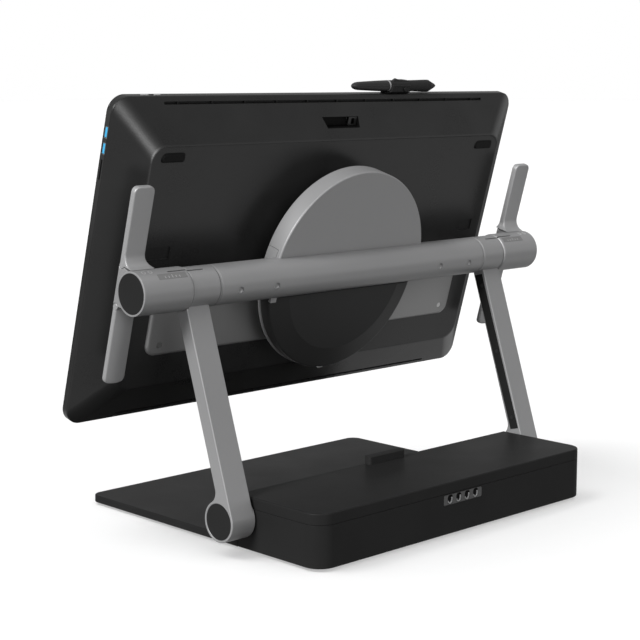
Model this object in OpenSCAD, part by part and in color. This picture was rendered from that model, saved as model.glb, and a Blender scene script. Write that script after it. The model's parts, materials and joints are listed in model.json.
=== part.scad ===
// Pen display on a desk stand with two swinging arms.
// The origin is the centre of the base on the desk, +Z is up and the user sits on the -Y side.

/* [Display] */
// Width of the display
display_w = 674; // [640:1:700]
// Height of the display
display_h = 394; // [370:1:410]
// Corner radius of the display outline
display_r = 20; // [14:1:26]
// Depth of the straight side wall, measured from the glass
rim_depth = 10; // [9:0.5:12]
// Depth of the flat back, measured from the glass
back_depth = 38.5; // [36:0.5:42]
// Width of the sloping band at each side of the back
side_slope = 42; // [36:1:48]
// Width of the sloping band at the top and bottom of the back
top_slope = 49.5; // [44:0.5:54]
// Lean of the display from upright
display_tilt = 15.64; // [10:0.01:20]

/* [Arms] */
// Height of the lower arm pivots above the desk
pivot_z = 40.5; // [38:0.5:44]
// Distance of the lower arm pivots behind the base centre
pivot_y = 83; // [81:0.5:86]
// Distance between the lower pivot and the crossbar
arm_length = 263.8; // [240:0.1:280]
// Forward lean of the arms
arm_lean = 14.15; // [8:0.01:20]
// Inner side of the arm bars, from the middle plane
arm_inner = 238.2; // [238:0.1:240]
// Width of the arm bars
arm_w = 32.5; // [30:0.1:34]
// Depth of the arm bars
arm_depth = 18.1; // [16:0.1:20]
// Radius of the lower pivot boss
boss_r = 23.8; // [22:0.1:25]

/* [Crossbar] */
// Radius of the crossbar tube and of the arm collars
tube_r = 23.8; // [23:0.1:24.5]
// Radius of the end housings
housing_r = 25.2; // [25:0.1:26]
// Distance from the middle plane to the end of the crossbar
bar_end = 337.5; // [334:0.5:340]
// Distance from the crossbar axis to the front of the glass
glass_gap = 90.6; // [88:0.1:94]
// Height of the display centre above the crossbar axis
display_rise = 1.6; // [0:0.1:3]
// Radius of the round hub behind the display
hub_r = 125.5; // [120:0.5:128]
// Reach of the upper squeeze levers above the crossbar axis
lever_up = 115; // [105:1:120]
// Reach of the lower squeeze levers below the crossbar axis
lever_down = 118; // [105:1:120]

/* [Base] */
// Width of the base
base_w = 469; // [460:1:476]
// Depth of the base
base_d = 414.4; // [400:0.1:420]
// Depth of the raised block at the back
block_d = 133; // [130:1:135]
// Height of the top of the block
block_z = 65.1; // [62:0.1:68]
// Height of the front plate
plate_z = 12; // [11:0.5:14]
// Height of the rubber feet
foot_h = 3; // [2.5:0.5:4]

/* [Pen] */
// Length of the pen
pen_length = 154; // [150:1:158]
// Largest radius of the pen
pen_r = 7.7; // [7:0.1:8]

/* [Hidden] */
$fn = 64;
fit = 0.05;
gap = 0.3;
eps = 0.01;

tube_y = pivot_y - arm_length * sin(arm_lean);
tube_z = pivot_z + arm_length * cos(arm_lean);
flat_w = display_w - 2 * side_slope;
flat_h = display_h - 2 * top_slope;
block_y = base_d / 2 - block_d;
collar_in = 228.2;
collar_out = 267.8;
shaft_r = 14;
stub_r = 12;
stub_in_r = 7;
arm_outer = arm_inner + arm_w;
module_depth = 43;
module_w = 524;
module_low = -107;
module_high = -8;
blade_in = 306.5;
blade_out = 336.5;
blade_front = -28.6;
blade_back = -20.6;
lever_pin_y = -24.6;
lever_pin_z = 24.6;
knuckle_r = 3.9;
lever_pin_r = 1.5;
hub_rear = 0.4;
hub_front = -21.3;
lower_r = hub_r - 0.8;
hub_drop = 9;
seam_z = -27;
pen_z = display_h / 2 + 9.2;
pen_d = 5.1;
pen_tail_x = -29;
holder_x = -110;
nib_root = pen_length - 13;
grip_r = 7.3;
switch_x = pen_tail_x - 85;
switch_z = 6.6;
fan_x = 150;
fan_v = 70;
lock_floor = 16;
port_wall = display_w / 2;
usb_v = [136.8, 155.3];
card_v = 112.5;
inlet_v = [-60, -85, -112];
screw_xy = 50;
plug_x = [142, 198];
cover_inset = 2.4;
clip_z = 44.3;
plate_screws = [[-120, 40], [0, 40], [120, 40]];
weight_screws = [[-130, 146], [130, 146]];
hub_rim = -24;
slot_w = 2.2;
slot_in = 244;
slot_out = 296;
slot_turn = 77.6;
window_turn = 62;
window_in = 273;
window_out = 313;
spring_y = 30;
spring_pitch = 2.7;

// ---------- helpers ----------

module rrect(w, h, r) {
    square([w - 2 * r, h], center = true);
    square([w, h - 2 * r], center = true);
    for (sx = [-1, 1], sy = [-1, 1])
        translate([sx * (w / 2 - r), sy * (h / 2 - r)]) circle(r);
}

// Solid of revolution along X from x0 to x1
module rod(x0, x1, r) {
    translate([x0, 0, 0]) rotate([0, 90, 0]) cylinder(h = x1 - x0, r = r);
}

// Copies its children onto both sides of the middle plane
module both() {
    children();
    mirror([1, 0, 0]) children();
}

// Crossbar frame: origin on the crossbar axis, +Y away from the glass, +Z up along the display
module in_head() {
    translate([0, tube_y, tube_z]) rotate([-display_tilt, 0, 0]) children();
}

// Arm frame: origin on the lower pivots, +Z towards the crossbar
module in_arm() {
    translate([0, pivot_y, pivot_z]) rotate([arm_lean, 0, 0]) children();
}

// Extrudes a display outline between two depths behind the glass
module slab(d0, d1) {
    translate([0, d1 - glass_gap, display_rise]) rotate([90, 0, 0])
        linear_extrude(d1 - d0) children();
}

// Cylinder along the display's normal between two depths behind the glass
module peg(x, v, d0, d1, r) {
    translate([x, d1 - glass_gap, display_rise + v]) rotate([90, 0, 0])
        cylinder(h = d1 - d0, r = r);
}

// Box by its corners in display terms: across, up and depth
module brick(x, v, d) {
    translate([x[0], d[0] - glass_gap, display_rise + v[0]])
        cube([x[1] - x[0], d[1] - d[0], v[1] - v[0]]);
}

// ---------- base ----------

module plate_outline(inset = 0) {
    r = 14 - inset;
    hull_w = base_w - 2 * inset;
    difference() {
        translate([0, inset / 2]) rrect(hull_w, base_d - inset, r);
        translate([-base_w, block_y - gap / 2]) square([2 * base_w, base_d]);
    }
}

module block_outline(inset = 0) {
    r = 22.3 - inset;
    w = base_w - 2 * inset;
    low = block_y + gap / 2 + inset;
    high = base_d / 2 - inset;
    translate([-w / 2, low]) square([w, high - low - r]);
    translate([-w / 2 + r, low]) square([w - 2 * r, high - low]);
    for (s = [-1, 1]) translate([s * (w / 2 - r), high - r]) circle(r);
}

module tray_outline(inset) {
    translate([-base_w / 2 + inset, -base_d / 2 + inset])
        square([base_w - 2 * inset, base_d - 2 * inset - 14]);
}

module base_plate() {
    color("#2a2a2c") difference() {
        translate([0, 0, foot_h]) linear_extrude(plate_z - foot_h) plate_outline();
        translate([0, 0, foot_h - eps]) linear_extrude(1.6 + eps) tray_outline(9.8);
        for (p = plate_screws) translate([p[0], p[1], 0]) cylinder(h = 10, r = 1.6);
    }
}

module base_housing() {
    color("#232325") {
        housing_shell();
        translate([0, pivot_y + spring_y, pivot_z - 2]) both() rod(base_w / 2 - 42, base_w / 2 - 2.9, 9.2);
    }
}

module housing_shell() {
    difference() {
        translate([0, 0, foot_h]) linear_extrude(52 - foot_h) block_outline();
        translate([0, 0, plate_z - 4]) linear_extrude(52) block_outline(3);
        translate([0, 0, foot_h - eps]) linear_extrude(1.6 + eps) tray_outline(9.8);
        translate([0, pivot_y, pivot_z]) rod(-base_w, base_w, stub_in_r);
        translate([-34, base_d / 2 - 1.2, clip_z - 6.3]) cube([68, 2, 12.6]);
        for (i = [-1.5 : 1 : 1.5]) translate([i * 15 - 2, base_d / 2 - 4, clip_z - 5]) cube([4, 5, 10]);
        for (p = weight_screws) translate([p[0], p[1], 0]) cylinder(h = 10, r = 3.2);
    }
}

module base_lid() {
    color("#303032") difference() {
        union() {
            translate([0, 0, 52.5]) linear_extrude(block_z - 53.5) block_outline();
            translate([0, 0, block_z - 1 - eps]) linear_extrude(1 + eps) block_outline(0.8);
        }
        translate([0, 0, 52]) linear_extrude(block_z - 3 - 52) block_outline(3);
    }
}

module base_bottom() {
    color("#3a3a3c") difference() {
        translate([0, 0, foot_h]) linear_extrude(1.4) tray_outline(10);
        for (p = foot_points()) translate([p[0], p[1], 0]) cylinder(h = 9, r = 9.2);
        for (p = concat(plate_screws, weight_screws)) translate([p[0], p[1], 0]) cylinder(h = 9, r = 4.6);
    }
}

function foot_points() = [for (x = [-205, 0, 205], y = [-180, 172]) [x, y]];

module counterweight() {
    color("#6b6d70") difference() {
        translate([-150, 104, 8.05]) cube([300, 84, 24]);
        for (p = weight_screws) translate([p[0], p[1], 0]) cylinder(h = 60, r = 3.2);
    }
}

module base_feet() {
    color("#1b1b1c") for (p = foot_points()) translate([p[0], p[1], 0]) cylinder(h = foot_h + 1.3, r = 9);
}

module keyhole() {
    translate([0, -2.2]) circle(1.9);
    translate([-1.2, -2.2]) square([2.4, 6]);
    translate([0, 3.6]) circle(1.9);
}

module cable_clip() {
    color("#8a8b8d") translate([0, base_d / 2, clip_z]) rotate([90, 0, 0]) linear_extrude(1.15)
        difference() {
            rrect(67, 12, 1.4);
            for (i = [-1.5 : 1 : 1.5]) translate([i * 15, 0]) keyhole();
        }
}

module rest_bumper() {
    color("#161617") intersection() {
        translate([0, 0, block_z + 0.05]) linear_extrude(11) translate([0, 80]) rrect(62, 10.5, 3);
        translate([-40, 0, 0]) rotate([90, 0, 90]) linear_extrude(80) translate([80, block_z + 4])
            rrect(11, 14, 3);
    }
}

module pivot_shafts() {
    color("#7d7f82") translate([0, pivot_y, pivot_z]) both() {
        rod(base_w / 2 - 44, base_w / 2 + 0.3, stub_in_r - fit);
        rod(base_w / 2 + 0.2, arm_inner + 24, stub_r);
    }
}

module counterbalance_springs() {
    color("#98999b") translate([0, pivot_y + spring_y, pivot_z - 2]) both()
        for (i = [0 : 11]) translate([base_w / 2 - 36 + i * spring_pitch, 0, 0]) rotate([0, 90, 0])
            rotate_extrude() translate([10.7, 0]) circle(1.4, $fn = 16);
}

module base_screws() {
    color("#4a4b4d") {
        for (p = plate_screws) translate([p[0], p[1], foot_h + 0.2]) screw(4.4, 1.55, 5, 1.1);
        for (p = weight_screws) translate([p[0], p[1], foot_h + 0.2]) screw(4.4, 3.1, 24, 1.1);
    }
}

// Screw with its head down, thread up: head radius, shank radius, length, head height
module screw(head, shank, length, head_h) {
    cylinder(h = head_h, r = head);
    cylinder(h = head_h + length, r = shank);
}

// ---------- arms ----------

// Side outline of one arm in its own frame: bar, lower boss and upper collar
module arm_side() {
    rear_low = boss_r;
    rear_high = 6.9;
    circle(boss_r);
    difference() {
        polygon([[rear_low, 0], [rear_high, arm_length], [rear_high - arm_depth, arm_length],
            [rear_low - arm_depth - 1, 10], [rear_low - arm_depth, 0]]);
    }
    // concave blend between the front face of the bar and the boss
    difference() {
        translate([-6, 12]) square([12, 24]);
        translate([-10.6, 35.4]) circle(14.2);
    }
}

// Puts a side outline (Y, Z) into space between two distances along X
module across(x0, x1) {
    translate([x0, 0, 0]) rotate([90, 0, 90]) linear_extrude(x1 - x0) children();
}

// Inner pocket of the bar, which the cover strip closes
module arm_pocket_side(inset) {
    rear_low = boss_r - inset;
    rear_high = 6.9 - inset;
    polygon([[rear_low - 1.5, 27], [rear_high, arm_length - 27],
        [rear_high - arm_depth + 2 * inset, arm_length - 27],
        [rear_low - 1.5 - arm_depth + 2 * inset, 27]]);
}

module arm() {
    color("#8f9092") in_arm() difference() {
        union() {
            across(arm_inner, arm_outer) arm_side();
            rod(arm_inner - 1.7, arm_outer, boss_r);
            translate([0, 0, arm_length]) rod(collar_in, collar_out, tube_r);
        }
        rod(arm_inner - 2, arm_inner + 24.5, stub_r + fit);
        rod(arm_outer - 1.2, arm_outer + 1, 20.9);
        translate([0, 0, arm_length]) rod(collar_in - 1, arm_outer + 1, shaft_r + fit);
        translate([0, 0, arm_length]) rod(collar_out, arm_outer + 5, housing_r + gap);
        across(arm_inner - 1, arm_outer - 3) arm_pocket_side(cover_inset);
        translate([0, 0, arm_length]) rotate([slot_turn - display_tilt - arm_lean, 0, 0])
            translate([slot_in, tube_r - 2.4, -slot_w / 2]) cube([30, 4, slot_w]);
    }
}

module arm_cover() {
    color("#1f1f21") in_arm() difference() {
        across(arm_inner + 0.6, arm_inner + 2.8) arm_pocket_side(cover_inset + 0.15);
        for (p = cover_screw_points()) translate([0, p[0], p[1]]) rod(arm_inner - 1, arm_inner + 5, 1.3);
    }
}

function cover_screw_points() = [for (t = [0.16, 0.5, 0.84])
    [boss_r - arm_depth / 2 - t * (boss_r - 6.9), t * arm_length]];

module arm_cover_screws() {
    color("#101011") in_arm() both() for (p = cover_screw_points())
        translate([0, p[0], p[1]]) {
            rod(arm_inner + 0.1, arm_inner + 0.58, 2.6);
            rod(arm_inner + 0.1, arm_inner + 8, 1.25);
        }
}

module arm_pivot_caps() {
    color("#1d1d1f") in_arm() both() rod(arm_outer - 1.2, arm_outer - 0.3, 20.6);
}

// ---------- crossbar and hub ----------

module crossbar_tube() {
    color("#8f9092") in_head() difference() {
        rod(-226, 226, tube_r);
        rod(-230, 230, shaft_r + fit);
        both() for (x = plug_x) translate([x, tube_r - 2, 0]) rotate([-90, 0, 0]) cylinder(h = 4, r = 4.2);
    }
}

module tilt_shaft() {
    color("#77797c") in_head() rod(-300, 300, shaft_r);
}

module collar_rings() {
    color("#c9cacb") in_head() both() difference() {
        rod(226.1, 227.9, tube_r - 0.3);
        rod(226, 228, shaft_r + fit);
    }
}

module end_housing() {
    color("#8f9092") in_head() difference() {
        union() {
            rod(collar_out + gap, bar_end, housing_r);
            translate([blade_in, blade_front, -lever_pin_z + 4.2])
                cube([blade_out - blade_in, 8, 2 * lever_pin_z - 8.4]);
            for (s = [-1, 1], x = [blade_in, blade_out - 2.7])
                translate([0, lever_pin_y, s * lever_pin_z]) {
                    rod(x, x + 2.7, knuckle_r);
                    translate([x, 0, -knuckle_r]) cube([2.7, 13, 2 * knuckle_r]);
                }
        }
        rod(collar_out, 300.2, shaft_r + fit);
        rod(300, bar_end - 6, 20);
        rod(bar_end - 2, bar_end + 1, 22.8);
        for (s = [-1, 1]) translate([0, lever_pin_y, s * lever_pin_z]) {
            rod(blade_in - 1, blade_out + 1, lever_pin_r + fit);
            rod(blade_in + 2.7, blade_out - 2.7, knuckle_r + gap + 0.1);
        }
        rotate([slot_turn, 0, 0]) translate([collar_out, housing_r - 2.4, -slot_w / 2])
            cube([slot_out - collar_out, 4, slot_w]);
        rotate([window_turn, 0, 0]) translate([window_in, housing_r - 0.7, -4])
            cube([window_out - window_in, 2, 8]);
    }
}

module end_caps() {
    color("#1c1c1e") in_head() both() rod(bar_end - 1.9, bar_end - 0.4, 22.6);
}

module tube_plugs() {
    color("#9fa0a2") in_head() both() for (x = plug_x)
        translate([x, tube_r - 1.9, 0]) rotate([-90, 0, 0]) difference() {
            cylinder(h = 1.3, r = 4);
            translate([0, 0, 1.9]) sphere(2.4);
        }
}

module angle_windows() {
    color("#7c7d7f") in_head() both() rotate([window_turn, 0, 0])
        translate([window_in + gap, housing_r - 0.65, -3.7])
            cube([window_out - window_in - 2 * gap, 0.4, 7.4]);
}

module hub_half(front, rear, r, upper) {
    translate([0, rear, 0]) rotate([90, 0, 0]) linear_extrude(rear - front) intersection() {
        translate([0, upper ? 0 : -hub_drop]) circle(r, $fn = 128);
        if (upper) translate([-r, seam_z]) square([2 * r, r - seam_z]);
        else translate([-r, -r - hub_drop]) square([2 * r, r + hub_drop + seam_z - gap]);
    }
}

module hub_upper_shell() {
    color("#8f9092") in_head() difference() {
        union() {
            hub_half(hub_front - 0.6, hub_rear - 1.5, hub_r - gap, true);
            hub_half(hub_rear - 1.5 - eps, hub_rear, hub_r - 1.2, true);
            for (drop = [0, hub_drop]) translate([0, hub_front - 0.1, -drop]) rotate([90, 0, 0])
                cylinder(h = hub_front - 0.1 - hub_rim, r = hub_r, $fn = 128);
            translate([-hub_r, hub_rim, -hub_drop])
                cube([2 * hub_r, hub_front - 0.1 - hub_rim, hub_drop]);
        }
        translate([0, hub_rear - 3, 0]) rotate([90, 0, 0]) cylinder(h = 24, r = hub_r - 3, $fn = 128);
        translate([0, hub_rear - 20, 0]) rotate([90, 0, 0]) cylinder(h = 20, r = hub_r - 16, $fn = 128);
        translate([20 - hub_r, -6, seam_z - 1]) cube([2 * hub_r - 40, 8, 27]);
        rod(-hub_r - 1, hub_r + 1, tube_r + 0.1);
    }
}

module hub_lower_shell() {
    color("#202022") in_head() difference() {
        union() {
            hub_half(hub_front, hub_rear - 2.5, lower_r, false);
            intersection() {
                translate([0, hub_rear, -hub_drop]) rotate([90, 0, 0])
                    cylinder(h = 2.6, r1 = 96, r2 = lower_r, $fn = 128);
                translate([-200, -10, -200]) cube([400, 20, 200 + seam_z - gap]);
            }
        }
        translate([0, hub_rear - 3.5, -hub_drop]) rotate([90, 0, 0])
            cylinder(h = 40, r = lower_r - 3, $fn = 128);
        translate([-3.3, -20.3, -hub_r - hub_drop - 1]) cube([6.6, 5.6, 8]);
    }
}

module hub_bracket() {
    color("#6f7174") in_head() difference() {
        union() {
            translate([0, -24.1, 0]) rotate([90, 0, 0]) cylinder(h = 5.9, r = 78);
            translate([-60, -25, -20]) cube([120, 12, 40]);
            for (a = [45 : 90 : 315]) rotate([0, a, 0]) translate([70, -30, -7]) cube([46, 3.4, 14]);
        }
        rod(-61, 61, tube_r + 0.1);
        rotate([90, 0, 0]) cylinder(h = 40, r = 20);
    }
}

module hub_bearing() {
    color("#a7a9ab") in_head() translate([0, -30.2, 0]) rotate([90, 0, 0]) difference() {
        cylinder(h = 8.2, r = 52);
        translate([0, 0, -1]) cylinder(h = 12, r = 29.8 + fit);
    }
}

module lever_pins() {
    color("#b5b6b8") in_head() both() for (s = [-1, 1])
        translate([0, lever_pin_y, s * lever_pin_z]) rod(blade_in + 0.2, blade_out - 0.2, lever_pin_r);
}

module rotation_catch() {
    color("#a9aaac") in_head() {
        translate([-3, -20, -hub_r - hub_drop - 2]) cube([6, 5, 16]);
        translate([-4, -20.5, -hub_r - hub_drop - 5]) cube([8, 6, 3.4]);
    }
}

// Face outline (X, Z) of a lever blade with a rounded tip and a flared root
module blade_face(root_z, tip, flare) {
    r = 7;
    difference() {
        union() {
            translate([blade_in + 2, root_z]) square([blade_out - blade_in - 2, tip - r - root_z]);
            translate([blade_in + 2 + r, tip - 2 * r]) square([blade_out - blade_in - 2 - 2 * r, 2 * r]);
            for (x = [blade_in + 2 + r, blade_out - r]) translate([x, tip - r]) circle(r);
            if (flare) translate([blade_in - 9, root_z]) square([12, 10]);
        }
        if (flare) translate([blade_in - 8, root_z + 12.5]) circle(10);
    }
}

// Side outline (Y, Z) of a lever: blade, root and knuckle
module blade_side(tip, foot) {
    thick = blade_back - blade_front;
    translate([blade_front, lever_pin_z]) square([thick, tip - lever_pin_z - 3]);
    translate([blade_front + 3, lever_pin_z]) square([thick - 6, tip - lever_pin_z]);
    for (y = [blade_front + 3, blade_back - 3]) translate([y, tip - 3]) circle(3);
    translate([lever_pin_y, lever_pin_z]) circle(knuckle_r);
    if (foot) difference() {
        translate([blade_front, lever_pin_z]) square([23, 14]);
        translate([blade_back + 14.9, lever_pin_z + 15.5]) circle(14.5);
    }
}

// Lever standing up from its pin; foot adds the flared root of the upper levers
module lever(tip, foot) {
    cheek = 3.1;
    difference() {
        intersection() {
            across(blade_in - 9, blade_out) blade_side(tip, foot);
            rotate([90, 0, 0]) translate([0, 0, -10]) linear_extrude(60)
                blade_face(lever_pin_z - knuckle_r, tip, foot);
        }
        rod(blade_in - 12, blade_out + 1, housing_r + 0.5);
        translate([0, lever_pin_y, lever_pin_z]) rod(blade_in - 12, blade_out + 1, lever_pin_r + fit);
        translate([blade_in - 12, blade_front - 1, lever_pin_z - 6]) cube([60, 30, 5.7]);
        for (x = [[blade_in - 12, blade_in + cheek], [blade_out - cheek, blade_out + 1]])
            translate([x[0], blade_front - 1, lever_pin_z - 6]) cube([x[1] - x[0], 18.8, 10.8]);
    }
    difference() {
        translate([0, lever_pin_y, lever_pin_z]) rod(blade_in + cheek, blade_out - cheek, knuckle_r);
        translate([0, lever_pin_y, lever_pin_z]) rod(blade_in, blade_out, lever_pin_r + fit);
    }
}

module tilt_lever() {
    color("#949597") in_head() lever(lever_up, true);
}

module height_lever() {
    color("#8a8b8d") in_head() mirror([0, 0, 1]) lever(lever_down, false);
}

// ---------- display ----------

module turntable_plate() {
    color("#55575a") in_head() difference() {
        union() {
            peg(0, -display_rise, module_depth + 0.3, 51, 80);
            peg(0, -display_rise, 50.9, 60, 29.8);
            peg(0, -display_rise, 59.9, 66, 19.95);
            for (x = [-1, 1]) peg(x * screw_xy, screw_xy - display_rise, back_depth + 0.05, 46, 8);
        }
        for (x = [-1, 1], v = [-1, 1])
            peg(x * screw_xy, v * screw_xy - display_rise, back_depth, 60, 2.3);
    }
}

module turntable_screws() {
    color("#2c2d2f") in_head() for (x = [-1, 1], v = [-1, 1]) {
        peg(x * screw_xy, v * screw_xy - display_rise, 51.1, 53.6, 4);
        peg(x * screw_xy, v * screw_xy - display_rise, back_depth - 6, 51.2, 2);
    }
}

module shell_form(inset) {
    hull() {
        slab(rim_depth, rim_depth + 0.2)
            rrect(display_w - 2 * inset, display_h - 2 * inset, display_r - inset, $fn = 48);
        slab(back_depth - inset - 0.2, back_depth - inset)
            rrect(flat_w - 1.2 * inset, flat_h - 1.2 * inset, 6, $fn = 48);
    }
}

module back_shell() {
    color("#2a2a2c") in_head() difference() {
        shell_form(0);
        difference() {
            shell_form(2.6);
            for (x = [-1, 1], v = [-1, 1])
                peg(x * screw_xy, v * screw_xy - display_rise, 24, back_depth, 7);
            brick([-33, 33], [158.2, 175.3], [lock_floor - 2.5, 40]);
        }
        slab(rim_depth - 1, rim_depth + 0.3) rrect(display_w - 6, display_h - 6, display_r - 3);
        // long vents in the top and bottom slopes
        for (s = [-1, 1]) brick([-270, 270], s > 0 ? [188.4, 192] : [-192, -188.4], [8, 20]);
        // lock recess
        brick([-31, 31], [160.5, 173], [lock_floor, 40]);
        // moulded pockets beside the hub
        for (s = [-1, 1]) brick(s > 0 ? [247, 279] : [-279, -247], [12, 28], [back_depth - 1.8, 42]);
        for (x = [-1, 1], v = [-1, 1])
            peg(x * screw_xy, v * screw_xy - display_rise, 27, 60, 2.1);
    }
}

module front_frame() {
    color("#1c1c1e") in_head() difference() {
        slab(1.9, rim_depth) rrect(display_w, display_h, display_r);
        slab(1, rim_depth + 1) rrect(display_w - 26, display_h - 24, display_r - 10);
        for (v = usb_v) brick([port_wall - 12.4, port_wall + 1], [v - 6.8, v + 6.8], [2.6, 8.4]);
        brick([port_wall - 12.4, port_wall + 1], [card_v - 12, card_v + 12], [3.6, 6.4]);
        for (v = inlet_v) brick([-port_wall - 1, -port_wall + 12.4], [v - 6, v + 6], [2.6, 8.4]);
        brick([286.4, 297.6], [display_h / 2 - 5, display_h / 2 + 1], [3.4, 6.6]);
        brick([269.4, 284.6], [display_h / 2 - 5, display_h / 2 + 1], [3.4, 6.6]);
    }
}

module cover_glass() {
    color("#0c0d0f") in_head() slab(0, 1.8) rrect(display_w, display_h, display_r);
}

module display_panel() {
    color("#17191c") in_head() slab(2, 7.4) square([634, 358], center = true);
}

module chassis() {
    color("#9a9c9e") in_head() difference() {
        slab(7.6, 9.8) rrect(646, 366, 8);
        for (x = [-250, 250], v = [-120, 0, 120]) peg(x, v, 7, 11, 9);
    }
}

module main_board() {
    color("#1f5a3a") in_head() {
        brick([-90, 90], [-110, -20], [16, 17.6]);
        brick([-30, 10], [-80, -45], [17.55, 21]);
        for (i = [0 : 3]) brick([30 + i * 13, 40 + i * 13], [-100, -86], [17.55, 20]);
        for (x = [-80, 80], v = [-100, -30]) peg(x, v, 9.85, 16.05, 3);
    }
}

module fan_frames() {
    color("#27282a") in_head() for (s = [-1, 1]) {
        difference() {
            brick([s * fan_x - 31, s * fan_x + 31], [fan_v - 31, fan_v + 31], [9.85, 24]);
            peg(s * fan_x, fan_v, 13.4, 25, 28.6);
        }
        peg(s * fan_x, fan_v, 13.3, 22, 2);
    }
}

module fan_rotor(s) {
    color("#3a3b3e") in_head() difference() {
        union() {
            peg(s * fan_x, fan_v, 14.4, 22.5, 10);
            translate([s * fan_x, 0, display_rise + fan_v]) for (a = [0 : 45 : 315])
                rotate([0, a, 0]) translate([9, 15.2 - glass_gap, -0.7]) rotate([-24, 0, 0])
                    cube([18, 6, 1.2]);
        }
        peg(s * fan_x, fan_v, 14, 23, 2 + fit);
    }
}

module module_cover() {
    mid = (module_high + module_low) / 2;
    tall = module_high - module_low;
    color("#7f8183") in_head() difference() {
        union() {
            slab(back_depth + 0.05, back_depth + 2) translate([0, mid]) rrect(module_w, tall, 14);
            slab(back_depth + 1.99, module_depth - 1) translate([0, mid]) rrect(module_w - 6, tall - 5, 13);
            slab(module_depth - 1 - eps, module_depth) translate([0, mid]) rrect(module_w - 10, tall - 9, 12);
        }
        for (s = [-1, 1]) peg(s * 244, -93.5, 38, 50, 1.6);
        for (s = [-1, 1]) peg(s * 244, -93.5, module_depth - 1.5, 50, 3.6);
        for (x = [-1, 1]) peg(x * screw_xy, -screw_xy - display_rise, 38, 50, 2.2);
    }
}

module module_screws() {
    color("#5c5e61") in_head() for (s = [-1, 1]) {
        peg(s * 244, -93.5, module_depth - 1.4, module_depth - 0.2, 3.3);
        peg(s * 244, -93.5, back_depth + 0.1, module_depth - 1.3, 1.5);
    }
}

module rear_pads() {
    color("#19191a") in_head() for (s = [-1, 1]) slab(back_depth + 0.05, back_depth + 1.7)
        translate([s * 265, 134.5]) rrect(33, 11, 3.5);
}

module vent_grilles() {
    color("#121213") in_head() for (s = [-1, 1]) {
        brick([-269, 269], s > 0 ? [188.6, 191.8] : [-191.8, -188.6], [10.4, 11.2]);
        for (x = [-250 : 50 : 250])
            brick([x - 0.8, x + 0.8], s > 0 ? [188.6, 191.8] : [-191.8, -188.6], [11.15, 12.2]);
    }
}

module side_ports() {
    in_head() {
        for (v = usb_v) {
            color("#b9babc") difference() {
                brick([port_wall - 12, port_wall - 0.3], [v - 6.5, v + 6.5], [2.8, 8.2]);
                brick([port_wall - 11, port_wall + 1], [v - 6.1, v + 6.1], [3.2, 7.8]);
            }
            color("#3aa0d8") brick([port_wall - 11.1, port_wall - 1], [v - 5.4, v + 5.4], [3.6, 5.6]);
        }
        color("#0d0d0e") difference() {
            brick([port_wall - 12, port_wall - 0.3], [card_v - 11.8, card_v + 11.8], [3.8, 6.2]);
            brick([port_wall - 10, port_wall + 1], [card_v - 11, card_v + 11], [4.2, 5.8]);
        }
        color("#b9babc") for (v = inlet_v) difference() {
            brick([-port_wall + 0.3, -port_wall + 12], [v - 5.8, v + 5.8], [2.8, 8.2]);
            brick([-port_wall - 1, -port_wall + 11], [v - 5, v + 5], [3.6, 7.4]);
        }
    }
}

module power_button() {
    color("#c8c9ca") in_head() brick([287, 297], [display_h / 2 - 3, display_h / 2 + 0.5], [3.7, 6.3]);
}

module touch_switch() {
    color("#c8c9ca") in_head() {
        brick([270, 278], [display_h / 2 - 3, display_h / 2 + 0.5], [3.7, 6.3]);
    }
}

// ---------- pen and its holder ----------

module in_pen() {
    in_head() translate([0, pen_d - glass_gap, display_rise + pen_z]) children();
}

module pen_holder() {
    top = display_h / 2;
    color("#1e1e20") in_head() difference() {
        union() {
            brick([holder_x - 23, holder_x + 23], [top + 0.05, top + 2.3], [-2.6, 9]);
            brick([holder_x - 17, holder_x + 17], [top + 2.2, pen_z + 3.4], [-5, 15.2]);
            brick([holder_x - 19, holder_x + 19], [top - 8, top + 2.3], [-2.6, -0.3]);
            translate([holder_x - 6, 15.1 - glass_gap, display_rise + pen_z - 2]) rotate([-90, 0, 0])
                cylinder(h = 1.6, r = 2.6);
        }
        translate([0, pen_d - glass_gap, display_rise + pen_z]) {
            rod(holder_x - 40, holder_x + 40, pen_r + 0.4);
            translate([holder_x - 40, -pen_r - 0.4, 0]) cube([80, 2 * pen_r + 0.8, 20]);
        }
    }
}

// Stretch of the pen turned about its own axis between two distances from the tail
module pen_turn(points) {
    in_pen() translate([pen_tail_x, 0, 0]) rotate([0, -90, 0]) rotate_extrude() polygon(points);
}

module pen_barrel() {
    color("#1a1a1c") pen_turn([[0, 0], [3.4, 0], [4.8, 1.4], [5.1, 4], [7.2, 62], [0, 62]]);
}

module pen_ring() {
    color("#9c9d9f") pen_turn([[0, 62.05], [grip_r, 62.05], [grip_r, 64.4], [0, 64.4]]);
}

module pen_grip() {
    color("#151516") difference() {
        pen_turn([[0, 64.45], [grip_r, 64.45], [grip_r, 108], [pen_r, 124], [pen_r, pen_length - 16],
            [2.6, pen_length - 2.8], [1.2, pen_length - 2.8], [1.2, nib_root - 1], [0, nib_root - 1]]);
        in_pen() translate([switch_x - 15, -2.6, 5.1]) cube([30, 5.2, 5]);
    }
}

module pen_nib() {
    color("#2b2b2d") pen_turn([[0, nib_root], [1.1, nib_root], [1.1, pen_length - 2],
        [0.5, pen_length - 0.2], [0, pen_length]]);
}

module pen_switch() {
    color("#3a3a3d") in_pen() translate([switch_x, 0, switch_z]) intersection() {
        translate([-14.6, -2.3, -0.2]) cube([29.2, 4.6, 3.2]);
        union() {
            translate([-14.6, -2.3, -0.2]) cube([29.2, 4.6, 1.2]);
            for (bump = [[-6, -6, 7.8], [9, -2, 4.8]]) translate([bump[0], 2.3, bump[1]])
                rotate([90, 0, 0]) cylinder(h = 4.6, r = bump[2]);
        }
    }
    color("#3a3a3d") in_pen() translate([switch_x, 2.3, switch_z]) rotate([90, 0, 0])
        cylinder(h = 4.6, r = 0.9);
}

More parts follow.
